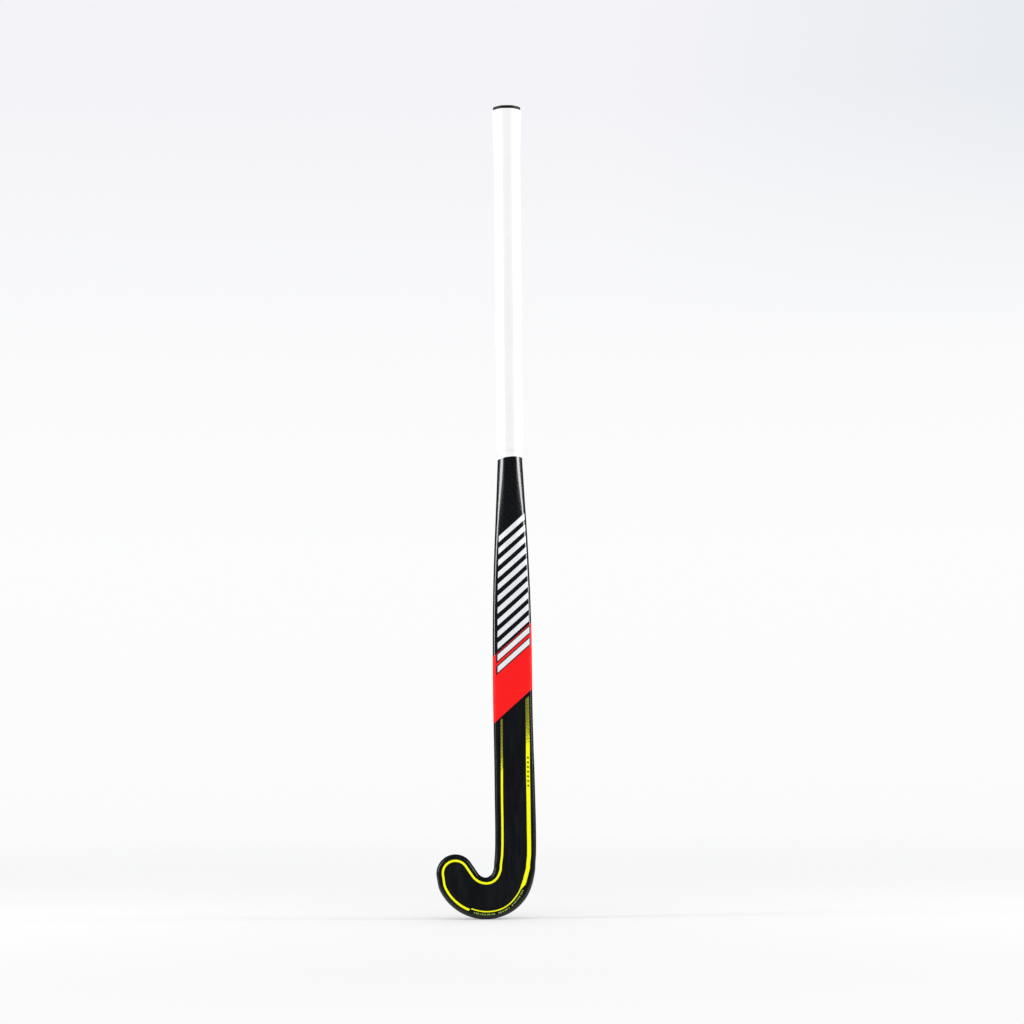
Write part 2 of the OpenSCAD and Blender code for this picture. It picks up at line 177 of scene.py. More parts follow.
def lean(z):
    """How far forward of the handle the stick has curved at height z."""
    span, slope = BOW_TOP - BOW_BOTTOM, math.tan(math.radians(BOW_ANGLE))
    bent = slope * np.clip(BOW_TOP - z, 0, span) ** 2 / (2 * span)
    return bent + slope * np.maximum(0, BOW_BOTTOM - z)


def middle_y(z):
    return lean(0) - lean(z)


def shaft_half(z):
    return mix(HANDLE_HALF, HEEL_HALF, width_share(z))


def shaft_x(z):
    return mix(HANDLE_X, HEEL_X, drift_share(z))


def octagon_share(z):
    return smooth((z - OCTAGON_START) / (OCTAGON_END - OCTAGON_START))


def flare(z):
    return FLARE_RISE * np.clip((z - SHELL_TOP + FLARE_LENGTH) / FLARE_LENGTH, 0, 1.2) ** 3.5


# ---- Sections ---------------------------------------------------------------------------------
def soft_octagon(corner, flatness):
    """Distance from the middle at each angle, for an eight-sided section that is 1 from the middle
    to each flat. corner is the smallest radius, and a higher flatness makes flatter sides."""
    turn = np.radians(np.arange(0, 45.01, 0.25))
    crown = np.exp(flatness * (np.cos(8 * turn) - 1))
    step = turn[1] - turn[0]

    def outline(bulge):
        radius = corner + bulge * crown
        middles = (radius[1:] + radius[:-1]) / 2 * step
        angles = (turn[1:] + turn[:-1]) / 2
        x = np.concatenate([[0], np.cumsum(-middles * np.sin(angles))])
        y = np.concatenate([[0], np.cumsum(middles * np.cos(angles))])
        half_side = math.hypot(x[-1], y[-1]) / (2 * math.sin(math.radians(22.5)))
        return x + half_side, y, half_side

    low, high = 0.0, 20.0
    for _ in range(60):
        bulge = (low + high) / 2
        low, high = (bulge, high) if outline(bulge)[2] < 1 else (low, bulge)
    x, y, _ = outline(bulge)
    return np.degrees(np.arctan2(y, x)), np.hypot(x, y)


BARE = soft_octagon(0.22, 2.2)
WRAPPED = soft_octagon(0.30, 2.6)


def octagon(a, half, shape=BARE):
    """Points of an eight-sided outline that is half wide from the middle to each flat."""
    reach = half * np.interp(np.mod(a, 45), *shape)
    return reach * cos(a), reach * sin(a)


def front_depth(inset, grow=0.0):
    """Depth of the front surface, from the distance in from the edge."""
    size = np.maximum(LEAST_ROUNDING, FACE_ROUNDING + grow)
    return -(FACE_DEPTH + grow) * rounding(inset / size) - EDGE_SHIFT


def back_depth(a, grow=0.0, share=1.0):
    """Depth of the back surface at section angle a."""
    crown = np.clip(sin(a), 0, 1) ** BACK_FULLNESS
    return (THICKNESS - FACE_DEPTH + grow) * share * crown - EDGE_SHIFT


def shaft_point(z, a, grow=0.0, shape=BARE):
    """Points of the shaft's surface at heights z and section angles a."""
    z, a = np.broadcast_arrays(np.asarray(z, float), np.asarray(a, float))
    half = shaft_half(z) + grow
    across = half * cos(a)
    front = front_depth(half - np.abs(across), grow)
    depth = np.where(sin(a) > 0, back_depth(a, grow), front)
    wide, deep = octagon(a, half, shape)
    share = octagon_share(z)
    return np.stack(
        [shaft_x(z) + mix(across, wide, share), middle_y(z) + mix(depth, deep, share), z], -1
    )


def outer_reach(turn):
    """Distance of the sole and the toe's front from the middle of the head's outer curve."""
    toe = smooth((turn - TOE_START) / (TOE_TURN - TOE_START))
    return HEAD_RADIUS - HEEL_CUT * heel_shape(turn) - TOE_CUT * toe


def head_place(reach, turn):
    """Place at a distance and a turn round the middle of the head's outer curve."""
    return reach * cos(turn), HEAD_RADIUS - reach * sin(turn)


def toe_place(reach, onward):
    """Place at a distance along the toe's first spoke, and then onward across that spoke."""
    x = reach * cos(TOE_TURN) - onward * sin(TOE_TURN)
    z = HEAD_RADIUS - reach * sin(TOE_TURN) - onward * cos(TOE_TURN)
    return x, z


def inner_reach(turn, grow):
    """Distance of the throat and the straight flank that follows it."""
    return (THROAT_RADIUS + throat_shift(turn) - grow) / cos(np.maximum(0, turn - FLANK_TURN))


def bend_ring(turn, a, grow):
    """A ring across the head, at a turn round the middle of the head's outer curve."""
    tilt = cos(max(0, turn - FLANK_TURN))
    inner, outer = inner_reach(turn, grow), outer_reach(turn) + grow
    half = (outer - inner) / 2
    across = half * cos(a)
    inset = np.minimum(half - across, (half + across) * tilt)
    reach = (outer + inner) / 2 + across
    return lift(*head_place(reach, turn), a, inset, grow, 1.0)


def toe_ring(turn, a, grow):
    """A ring across the rounded end of the toe, from 0 at its start to nearly 90 at its tip."""
    r = TOE_RADIUS + grow
    onward, outer = r * sin(turn), r * cos(turn)
    flank = (r - onward * sin(FLANK_ANGLE)) / cos(FLANK_ANGLE)
    inner = flank if onward < r * sin(FLANK_ANGLE) else outer
    out = (outer - inner) / 2 + (outer + inner) / 2 * cos(a)
    beside = -out * sin(FLANK_ANGLE) - onward * cos(FLANK_ANGLE)
    inset = np.where(
        beside > 0,
        r + out * cos(FLANK_ANGLE) - onward * sin(FLANK_ANGLE),
        r - np.hypot(out, onward),
    )
    return lift(*toe_place(TOE_REACH + out, onward), a, inset, grow, cos(turn))


def lift(x, z, a, inset, grow, back):
    """Gives flat points of the head their depth. back is the share of the back's full height."""
    depth = np.where(sin(a) > 1e-9, back_depth(a, grow, back), front_depth(inset, grow))
    return np.stack([x, middle_y(z) + depth, z], -1)


def ring_angles(count=RING_POINTS):
    return np.arange(count) * 360 / count


# ---- Meshes -----------------------------------------------------------------------------------
def make_piece(name, points, faces, finish, nodes, sharp=35):
    """A closed mesh from points in millimetres, riding on the stick's only body."""
    mesh = bpy.data.meshes.new(name)
    mesh.from_pydata((np.asarray(points) * MM).tolist(), [], faces)
    work = bmesh.new()
    work.from_mesh(mesh)
    bmesh.ops.recalc_face_normals(work, faces=work.faces)
    work.to_mesh(mesh)
    work.free()
    mesh.shade_smooth()
    mesh.set_sharp_from_angle(angle=math.radians(sharp))
    mesh.materials.append(finish)
    piece = bpy.data.objects.new(name, mesh)
    bpy.context.scene.collection.objects.link(piece)
    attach(piece, "root")
    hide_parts(*nodes)


def ring_walls(rows, columns, start=0):
    """Quads between rings whose points are numbered one ring after another."""
    return [
        (start + i * columns + j, start + (i + 1) * columns + j,
         start + (i + 1) * columns + (j + 1) % columns, start + i * columns + (j + 1) % columns)
        for i in range(rows - 1) for j in range(columns)
    ]


def tube(outer, inner, tips=None):
    """Closed wall between two stacks of rings. tips closes both skins at the last ring."""
    rows, columns = outer.shape[:2]
    points = np.concatenate([outer.reshape(-1, 3), inner.reshape(-1, 3)])
    second = rows * columns
    faces = ring_walls(rows, columns) + ring_walls(len(inner), columns, second)
    faces += bridge(0, second, columns)
    last, inner_last = (rows - 1) * columns, second + (len(inner) - 1) * columns
    if tips is None:
        return points, faces + bridge(last, inner_last, columns)
    for ring, tip in zip((last, inner_last), (len(points), len(points) + 1)):
        faces += [(ring + j, ring + (j + 1) % columns, tip) for j in range(columns)]
    return np.concatenate([points, tips]), faces


def bridge(a, b, columns):
    """Quads between the ring that starts at point a and the one that starts at point b."""
    return [
        (a + j, a + (j + 1) % columns, b + (j + 1) % columns, b + j) for j in range(columns)
    ]


def film(outer, inner, keep=None, wrap=False):
    """Thin closed film between two grids of points. keep marks the cells that are printed, and
    wrap joins the last column to the first."""
    rows, columns = outer.shape[:2]
    cells = (rows - 1, columns if wrap else columns - 1)
    keep = np.ones(cells, bool) if keep is None else keep
    points = np.concatenate([outer.reshape(-1, 3), inner.reshape(-1, 3)])
    under = rows * columns
    faces = []

    def printed(i, j):
        if wrap:
            j %= cells[1]
        return 0 <= i < cells[0] and 0 <= j < cells[1] and keep[i, j]

    for i, j in zip(*np.nonzero(keep)):
        i, j = int(i), int(j)
        k = (j + 1) % columns
        a, b = i * columns + j, i * columns + k
        c, d = (i + 1) * columns + k, (i + 1) * columns + j
        faces += [(a, b, c, d), (a + under, d + under, c + under, b + under)]
        sides = [((i - 1, j), a, b), ((i, j + 1), b, c), ((i + 1, j), c, d), ((i, j - 1), d, a)]
        faces += [(p, p + under, q + under, q) for cell, p, q in sides if not printed(*cell)]
    used = sorted({index for face in faces for index in face})
    order = {old: new for new, old in enumerate(used)}
    return points[used], [tuple(order[index] for index in face) for face in faces]


# ---- Node finishes ----------------------------------------------------------------------------
def paint_ramp(ramp, stops):
    """Sets a colour ramp to (place, grey or colour) stops."""
    for i, (place, colour) in enumerate(stops):
        stop = ramp.elements[i] if i < 2 else ramp.elements.new(place)
        stop.position = place
        stop.color = (*colour, 1) if isinstance(colour, tuple) else (colour,) * 3 + (1,)


class Nodes:
    """Short calls for the nodes of one tree."""

    def __init__(self, tree):
        self.tree = tree

    def connect(self, node, sockets):
        """Links the sockets that are given an output, and sets the others to their value."""
        for key, value in sockets.items():
            if isinstance(value, bpy.types.NodeSocket):
                self.tree.links.new(value, node.inputs[key])
            else:
                node.inputs[key].default_value = value

    def add(self, kind, sockets=None, **settings):
        node = self.tree.nodes.new("ShaderNode" + kind)
        for key, value in settings.items():
            setattr(node, key, value)
        self.connect(node, sockets or {})
        return node

    def math(self, operation, *values):
        node = self.add("Math", operation=operation)
        self.connect(node, dict(enumerate(values)))
        return node.outputs[0]

    def levels(self, value, low, high, to_low, to_high):
        sockets = {"Value": value, "From Min": low, "From Max": high,
                   "To Min": to_low, "To Max": to_high}
        return self.add("MapRange", sockets).outputs[0]

    def shades(self, value, *stops):
        """Colour ramp through (place, grey or colour) stops."""
        node = self.add("ValToRGB", {"Fac": value})
        paint_ramp(node.color_ramp, stops)
        return node.outputs["Color"]

    def parts(self, vector):
        return self.add("SeparateXYZ", {"Vector": vector}).outputs


class Finish(Nodes):
    """A material around one Principled shader, with the textures used here."""

    def __init__(self, name, **sockets):
        self.material = bpy.data.materials.new(name)
        self.material.use_nodes = True
        super().__init__(self.material.node_tree)
        self.shader = self.tree.nodes["Principled BSDF"]
        self.place = self.add("TexCoord").outputs["Object"]
        self.use(**sockets)

    def noise(self, scale, stretch=(1, 1, 1), detail=3.0):
        place = self.add("Mapping", {"Vector": self.place, "Scale": stretch}).outputs[0]
        sockets = {"Vector": place, "Scale": scale, "Detail": detail}
        return self.add("TexNoise", sockets).outputs["Fac"]

    def cells(self, scale, feature="F1"):
        sockets = {"Vector": self.place, "Scale": scale}
        return self.add("TexVoronoi", sockets, feature=feature).outputs["Distance"]

    def bump(self, height, strength, distance, normal=None):
        sockets = {"Height": height, "Strength": strength, "Distance": distance}
        if normal is not None:
            sockets["Normal"] = normal
        return self.add("Bump", sockets).outputs[0]

    def use(self, **sockets):
        """Connects the shader's sockets, named with _ for a space, and returns the material."""
        self.connect(self.shader, {key.replace("_", " "): v for key, v in sockets.items()})
        return self.material

    def twill(self, across, along, tow):
        """Two-by-two twill: 1 where a lengthwise tow is on top, and the height of the top tow."""
        i = self.math("FLOOR", self.math("DIVIDE", across, tow))
        j = self.math("FLOOR", self.math("DIVIDE", along, tow))
        on_top = self.math("LESS_THAN", self.math("FLOORED_MODULO", self.math("ADD", i, j), 4.0), 1.5)
        tall = [
            self.math("ABSOLUTE", self.math("SINE", self.math("MULTIPLY", c, math.pi / tow)))
            for c in (across, along)
        ]
        over = self.math("MULTIPLY", on_top, tall[0])
        under = self.math("MULTIPLY", self.math("SUBTRACT", 1.0, on_top), tall[1])
        return on_top, self.math("ADD", over, under)


def round_twill(f, radius, tows):
    """Twill round the handle's centre line, with a whole number of tows in a turn."""
    x, y, along = f.parts(f.place)
    angle = f.math(
        "ARCTAN2", f.math("SUBTRACT", y, HANDLE_Y * MM), f.math("SUBTRACT", x, HANDLE_X * MM)
    )
    return f.twill(f.math("MULTIPLY", angle, radius), along, 2 * math.pi * radius / tows)


# ---- Finishes of the laminate -----------------------------------------------------------------
def glossy_carbon():
    """Lacquered carbon cloth: near black, with the weave just visible under a clear coat."""
    f = Finish(
        "glossy_carbon", IOR=1.5, Coat_Weight=1.0, Coat_Roughness=0.035, Coat_IOR=1.5
    )
    on_top, height = round_twill(f, 0.017, 56)
    fibres = f.noise(900, (1, 1, 0.05))
    cloth = f.shades(f.math("MULTIPLY", f.math("ADD", on_top, fibres), 0.5),
                     (0.2, (0.0024, 0.0032, 0.0046)), (0.8, (0.0036, 0.0046, 0.0064)))
    haze = f.levels(f.noise(60), 0.3, 0.7, 0.0, 0.03)
    rough = f.math("ADD", f.levels(on_top, 0, 1, 0.22, 0.25), haze)
    peel = f.bump(f.noise(420, detail=1.0), 0.05, 0.0002)
    return f.use(
        Base_Color=cloth, Roughness=rough, Coat_Normal=peel,
        Normal=f.bump(height, 0.04, 0.0001, peel),
    )


def satin_carbon():
    """Satin lacquer over lengthwise fibres, with faint upright streaks."""
    f = Finish(
        "satin_carbon", IOR=1.45, Specular_IOR_Level=0.3, Coat_Weight=0.45, Coat_Roughness=0.16
    )
    streaks = f.noise(330, (1, 1, 0.035), 4.0)
    broad = f.noise(90, (1, 1, 0.12), 2.0)
    both = f.math("ADD", f.math("MULTIPLY", streaks, 0.6), f.math("MULTIPLY", broad, 0.4))
    colour = f.shades(both, (0.36, (0.0004, 0.0014, 0.0034)), (0.5, (0.0010, 0.0026, 0.0050)),
                      (0.66, (0.0044, 0.0062, 0.0092)))
    rough = f.levels(both, 0.35, 0.65, 0.38, 0.5)
    grain = f.math("ADD", streaks, f.math("MULTIPLY", f.noise(2600, detail=1.0), 0.35))
    return f.use(Base_Color=colour, Roughness=rough, Normal=f.bump(grain, 0.12, 0.00012))


def inner_laminate():
    """Uncoated laminate of the web: woven, dull and dark."""
    f = Finish("inner_laminate")
    _, y, z = f.parts(f.place)
    on_top, height = f.twill(y, z, 0.0022)
    dust = f.noise(260)
    colour = f.shades(f.math("MULTIPLY", f.math("ADD", on_top, dust), 0.5),
                      (0.25, 0.016), (0.75, 0.042))
    rough = f.levels(dust, 0.3, 0.7, 0.5, 0.68)
    return f.use(Base_Color=colour, Roughness=rough, Normal=f.bump(height, 0.5, 0.0003))


def foam(name, dark, light):
    """Moulded closed-cell foam."""
    f = Finish(name)
    pores = f.cells(700)
    patches = f.noise(35)
    colour = f.shades(f.math("MULTIPLY", f.math("ADD", pores, patches), 0.6),
                      (0.2, dark), (0.7, light))
    rough = f.levels(patches, 0.3, 0.7, 0.8, 0.92)
    return f.use(Base_Color=colour, Roughness=rough, Normal=f.bump(pores, 0.6, 0.0004))


def aramid():
    """Woven yellow impact ply in clear resin."""
    f = Finish("aramid")
    x, _, z = f.parts(f.place)
    on_top, height = f.twill(x, z, 0.0016)
    tint = f.math("MULTIPLY", f.math("ADD", on_top, f.noise(300)), 0.5)
    colour = f.shades(tint, (0.25, (0.42, 0.31, 0.05)), (0.75, (0.72, 0.56, 0.13)))
    rough = f.levels(height, 0, 1, 0.5, 0.34)
    return f.use(Base_Color=colour, Roughness=rough, Normal=f.bump(height, 0.5, 0.0003))


def rubber(name, dark, light):
    """Moulded elastomer with a fine stippled skin."""
    f = Finish(name)
    stipple = f.noise(900, detail=2.0)
    clouds = f.noise(40)
    colour = f.shades(clouds, (0.3, dark), (0.7, light))
    rough = f.levels(stipple, 0.3, 0.7, 0.48, 0.64)
    return f.use(Base_Color=colour, Roughness=rough, Normal=f.bump(stipple, 0.25, 0.00015))


def collar_plastic():
    """Grey moulded plastic of the build-up under the flare."""
    f = Finish("collar_plastic")
    flow = f.noise(55, (1, 1, 0.3))
    colour = f.shades(flow, (0.3, (0.23, 0.235, 0.245)), (0.7, (0.31, 0.315, 0.325)))
    texture = f.noise(1500, detail=1.0)
    rough = f.levels(texture, 0.3, 0.7, 0.42, 0.55)
    return f.use(Base_Color=colour, Roughness=rough, Normal=f.bump(texture, 0.2, 0.0001))


def cushion_foam():
    """Thin fabric-backed cushion under the grip."""
    f = Finish("cushion_foam")
    on_top, height = round_twill(f, 0.014, 88)
    tint = f.math("MULTIPLY", f.math("ADD", on_top, f.noise(200)), 0.5)
    colour = f.shades(tint, (0.25, (0.50, 0.52, 0.56)), (0.75, (0.62, 0.64, 0.68)))
    rough = f.levels(height, 0, 1, 0.9, 0.78)
    return f.use(Base_Color=colour, Roughness=rough, Normal=f.bump(height, 0.4, 0.0003))


# ---- Finishes of the handle -------------------------------------------------------------------
def grip_skin():
    """Tacky white polyurethane: fine leather-like grain, soft creases and a slight sheen."""
    f = Finish("grip_skin", IOR=1.45, Sheen_Weight=0.08, Sheen_Roughness=0.4)
    clouds = f.noise(28, (1, 1, 0.5))
    grain = f.cells(1100, "SMOOTH_F1")
    creases = f.noise(160, (1, 1, 0.4), 4.0)
    tint = f.math("ADD", f.math("MULTIPLY", clouds, 0.7), f.math("MULTIPLY", grain, 0.3))
    colour = f.shades(tint, (0.2, (0.892, 0.893, 0.892)), (0.7, (0.936, 0.935, 0.928)))
    rough = f.levels(clouds, 0.3, 0.7, 0.5, 0.6)
    relief = f.bump(grain, 0.16, 0.00012, f.bump(creases, 0.10, 0.0003))
    return f.use(Base_Color=colour, Roughness=rough, Normal=relief)


def tape_skin():
    """Smooth white finishing tape with fine crinkles across its length."""
    f = Finish("tape_skin", IOR=1.46)
    crepe = f.noise(520, (0.12, 0.12, 1), 2.0)
    clouds = f.noise(45)
    colour = f.shades(clouds, (0.3, (0.93, 0.932, 0.930)), (0.7, (0.96, 0.958, 0.952)))
    rough = f.levels(crepe, 0.3, 0.7, 0.3, 0.42)
    return f.use(Base_Color=colour, Roughness=rough, Normal=f.bump(crepe, 0.12, 0.00012))


# ---- Finishes of the graphics -----------------------------------------------------------------
def print_film(name, dark, light, rough=(0.26, 0.36), coat=0.4, specular=0.5):
    """Screen-printed ink under lacquer: slightly uneven colour, and the fibres' faint grain."""
    f = Finish(
        name, IOR=1.48, Specular_IOR_Level=specular, Coat_Weight=coat, Coat_Roughness=0.12
    )
    blotches = f.noise(75)
    grain = f.noise(1500, (1, 1, 0.3), 2.0)
    tint = f.math("ADD", f.math("MULTIPLY", blotches, 0.7), f.math("MULTIPLY", grain, 0.3))
    colour = f.shades(tint, (0.35, dark), (0.65, light))
    gloss = f.levels(grain, 0.3, 0.7, *rough)
    return f.use(Base_Color=colour, Roughness=gloss, Normal=f.bump(grain, 0.06, 0.0001))


def fading_film(name, bottom, top):
    """The yellow ink of a pinstripe, thinning out upwards to dark olive."""
    f = Finish(name, IOR=1.48, Specular_IOR_Level=0.15)
    share = f.levels(f.parts(f.place)[2], bottom * MM, top * MM, 0, 1)
    ink = [(0.0, 1.0), (0.24, 0.74), (0.52, 0.46), (0.8, 0.35), (1.0, 0.33)]
    stops = [(rise, (0.97 * k, k, 0.003 + 0.03 * (1 - k))) for rise, k in ink]
    colour = f.shades(share, *stops)
    grain = f.noise(1500, (1, 1, 0.3), 2.0)
    rough = f.levels(grain, 0.3, 0.7, 0.34, 0.46)
    return f.use(Base_Color=colour, Roughness=rough, Normal=f.bump(grain, 0.06, 0.0001))


# ---- Body of the stick ------------------------------------------------------------------------
# The body's two finishes meet under the red band
SPLIT = BAND_MIDDLE
EXPOSED_STEP = 3.0
HIDDEN_RINGS, BEND_RINGS, TOE_RINGS = 20, 96, 32
LAST_TOE_TURN = 88.5


def shaft_rings(heights, grow):
    return np.array([shaft_point(z, ring_angles(), grow) for z in heights])


def build_shaft_shell(finish):
    """Upper part of the moulded body, down to the level hidden by the red band."""
    hidden = np.linspace(SHELL_TOP, HANDLE_BOTTOM, HIDDEN_RINGS)[:-1]
    shown = np.linspace(HANDLE_BOTTOM, SPLIT, round((HANDLE_BOTTOM - SPLIT) / EXPOSED_STEP))
    heights = np.concatenate([hidden, shown])
    points, faces = tube(shaft_rings(heights, 0), shaft_rings(heights, -WALL))
    make_piece("body_shaft", points, faces, finish, ["laminate_shell"])


def head_rings(grow):
    """Rings from the red band down the shaft, through the crook and round the toe."""
    a = ring_angles()
    heights = np.linspace(SPLIT, HEAD_RADIUS, round((SPLIT - HEAD_RADIUS) / EXPOSED_STEP))
    rings = [shaft_point(z, a, grow) for z in heights[:-1]]
    rings += [bend_ring(turn, a, grow) for turn in np.linspace(0, TOE_TURN, BEND_RINGS)]
    toe_turns = np.linspace(0, LAST_TOE_TURN, TOE_RINGS)[1:]
    rings += [toe_ring(turn, a, grow) for turn in toe_turns]
    return np.array(rings)


def build_head_shell(finish):
    """Lower shaft and head, down to the tip of the toe."""
    outer, inner = head_rings(0), head_rings(-WALL)
    tips = np.array([toe_ring(90, np.array([0.0]), grow)[0] for grow in (0, -WALL)])
    points, faces = tube(outer, inner, tips)
    make_piece("body_head", points, faces, finish, ["laminate_shell"])


# ---- Handle -----------------------------------------------------------------------------------
LAP_PITCH = 23.0
LAP_RISE = 0.22
GRIP_RINGS = 320
GRIP_FILLET = 1.3
# The tape's lower edge is cut on a slant that is highest at one section angle
TAPE_EDGE = 516.3
TAPE_EDGE_RISE, TAPE_EDGE_SIDE = 3.0, 295.0
TAPE_TOP = 536.0
TAPE_TOP_RISE, TAPE_TOP_SIDE = 0.6, 120.0
TAPE_THICKNESS = 0.35
# How far above its lower edge the tape starts to climb the wrap, and over how far it does so
CLIMB_START, CLIMB_LENGTH = 6.0, 7.0


def lap(z, a):
    """Height of the wrap where each turn lies on the one before."""
    phase = np.mod(z / LAP_PITCH - a / 360, 1)
    return LAP_RISE * smooth(phase / 0.8) * (1 - smooth((phase - 0.96) / 0.04))


def unevenness(z, a):
    """Slight waves of a wrap that was pulled tight by hand."""
    return 0.05 * sin(z * 7.3 + a * 2) + 0.04 * sin(z * 3.1 - a * 3 + 40)


def build_grip(finish):
    """Spiral wrap of the handle, flared at the butt and rounded over at its top edge."""
    a = ring_angles()
    shoulder = SHELL_TOP - GRIP_FILLET
    heights = np.linspace(GRIP_BOTTOM + 1, shoulder, GRIP_RINGS)
    turns = np.arange(1, 7) * 15
    heights = np.concatenate([heights, shoulder + GRIP_FILLET * sin(turns)])
    z = heights[:, None] + 0 * a
    past = np.maximum(0, z - shoulder)
    drop = GRIP_FILLET - np.sqrt(np.maximum(0, GRIP_FILLET**2 - past**2))
    grow = UNDERLAY + GRIP - LAP_RISE / 2 + flare(z) + lap(z, a) + unevenness(z, a) - drop
    outer = shaft_point(z, a, grow, WRAPPED)
    inner = shaft_point(z, a, UNDERLAY + flare(z), WRAPPED)
    points, faces = tube(outer, inner)
    make_piece("grip_wrap", points, faces, finish, ["grip_tape"])


def build_end_tape(finish):
    """Finishing tape: stuck on the shaft, then stretched up over the end of the wrap."""
    a = ring_angles()
    share = np.linspace(0, 1, 40)[:, None]
    low = TAPE_EDGE + TAPE_EDGE_RISE * cos(a - TAPE_EDGE_SIDE)
    z = mix(low, TAPE_TOP + TAPE_TOP_RISE * cos(a - TAPE_TOP_SIDE), share)
    climb = smooth((z - low - CLIMB_START) / CLIMB_LENGTH)
    under = mix(0.0, UNDERLAY + GRIP + 0.06, climb)
    wrinkle = 0.035 * sin(a * 9 + z * 4) * climb
    outer = shaft_point(z, a, under + TAPE_THICKNESS + wrinkle, WRAPPED)
    inner = shaft_point(z, a, under, WRAPPED)
    points, faces = tube(outer, inner)
    make_piece("grip_end_tape", points, faces, finish, ["grip_end_band"])


def build_cap(finish):
    """Moulded cap: an eight-sided rim with softened edges, a shallow dish and a round stem."""
    a = ring_angles(96)
    rim = HANDLE_HALF + CAP_OVERHANG
    bottom = SHELL_TOP - 0.3
    # Height, half width, and how eight-sided the ring is
    profile = [
        (CAP_LOW[2], CAP_STEM_RADIUS - 0.8, 0), (CAP_LOW[2] + 0.8, CAP_STEM_RADIUS, 0),
        (bottom - 0.8, CAP_STEM_RADIUS, 0), (bottom, CAP_STEM_RADIUS + 0.8, 0),
        (bottom, rim - 0.4, 1), (bottom + 0.35, rim, 1), (TOP - 0.9, rim, 1),
        (TOP - 0.45, rim - 0.12, 1), (TOP - 0.12, rim - 0.45, 1), (TOP, rim - 0.95, 1),
        (TOP, rim - 2.6, 1), (TOP - 0.25, rim - 2.95, 1), (TOP - 0.55, rim - 3.5, 0.9),
        (TOP - 0.6, rim - 4.5, 0.7), (TOP - 0.6, 6.2, 0.1), (TOP - 0.5, 5.6, 0),
        (TOP - 0.2, 5.2, 0), (TOP - 0.05, 4.8, 0), (TOP, 4.2, 0), (TOP, 1.6, 0),
        (TOP - 0.15, 1.2, 0), (TOP - 0.8, 1.0, 0),
    ]
    rings = []
    for z, half, share in profile:
        x, y = octagon(a, half)
        x, y = mix(half * cos(a), x, share), mix(half * sin(a), y, share)
        rings.append(np.stack([HANDLE_X + x, HANDLE_Y + y, z + 0 * a], -1))
    count = len(rings) * len(a)
    ends = [[HANDLE_X, HANDLE_Y, CAP_LOW[2]], [HANDLE_X, HANDLE_Y, TOP - 0.85]]
    points = np.concatenate([np.array(rings).reshape(-1, 3), ends])
    faces = ring_walls(len(rings), len(a))
    last = count - len(a)
    for j in range(len(a)):
        k = (j + 1) % len(a)
        faces += [(j, k, count), (last + j, last + k, count + 1)]
    make_piece("butt_cap", points, faces, finish, ["end_cap"], sharp=50)


# ---- Graphics on the shaft --------------------------------------------------------------------
BAR_COUNT = 12
BARS_ON_BAND = 2
BAR_DEPTH = 6.8
BAR_PITCH = 13.2
BAR_BOTTOM = BAND_MIDDLE + BAND_DEPTH / 2 - 19
BAR_SPAN = (222.0, 331.0)
BACK_BAR_SPAN = (30.0, 150.0)
# The black margin round the bars on the band: width along the shaft in mm and round it in degrees
KEYLINE, KEYLINE_SPREAD = 1.6, 7.0
# How far the margins, and the bars on them, lie above the other films
KEYLINE_LIFT, BAR_LIFT = 0.06, 0.12


def slanted(z, a):
    """Heights round the shaft on a plane that rises towards the heel side."""
    return z + SLANT * shaft_half(z) * cos(a)


def build_band(finish):
    """Red film all the way round the shaft."""
    a = ring_angles()
    share = np.linspace(-0.5, 0.5, 30)[:, None]
    z = slanted(BAND_MIDDLE, a) + share * BAND_DEPTH
    points, faces = film(shaft_point(z, a, PROUD), shaft_point(z, a, -SUNK), wrap=True)
    make_piece("red_wrap", points, faces, finish, ["red_band"])


def bar_grid(z, depth, span, proud):
    """Outer and inner points of one slanted bar over a span of section angles."""
    a = np.linspace(*span, 40)
    share = np.linspace(-0.5, 0.5, 5)[:, None]
    heights = slanted(z, a) + share * depth
    return shaft_point(heights, a, proud), shaft_point(heights, a, -SUNK)


def join(parts):
    """One mesh from several lists of points and faces."""
    points, faces, count = [], [], 0
    for some, more in parts:
        points.append(some)
        faces += [tuple(index + count for index in face) for face in more]
        count += len(some)
    return np.concatenate(points), faces


def build_bars(name, bars, depth, span, proud, finish, node):
    """Slanted bars, numbered from the lowest. proud is a function of a bar's number."""
    parts = [
        film(*bar_grid(BAR_BOTTOM + i * BAR_PITCH, depth, span, proud(i))) for i in bars
    ]
    points, faces = join(parts)
    make_piece(name, points, faces, finish, [node])


# ---- Pinstripes on the face -------------------------------------------------------------------
THIN, THICK, SOLE = 2.4, 4.3, 1.3
TOE_TOP, TOE_FADE_TOP = 158.0, 221.0
HEEL_TOP, HEEL_FADE_TOP = 188.0, 245.0
# Turns at which the lines end on the sole, on the two edges of each line
TOE_LINE_ENDS = (111.9, 111.0)
HEEL_LINE_ENDS = (24.0, 32.6)
SOLE_LINE_ENDS = (109.6, 109.2)
# Squares of the fades, and how much of them is printed at the top and at the bottom
SQUARE_WIDE, SQUARE_HIGH = 0.8, 0.95
TOP_COVER, BOTTOM_COVER, COVER_POWER = 0.5, 1.02, 2.9
DITHER = np.array([[0, 8, 2, 10], [12, 4, 14, 6], [3, 11, 1, 9], [15, 7, 13, 5]]) / 16
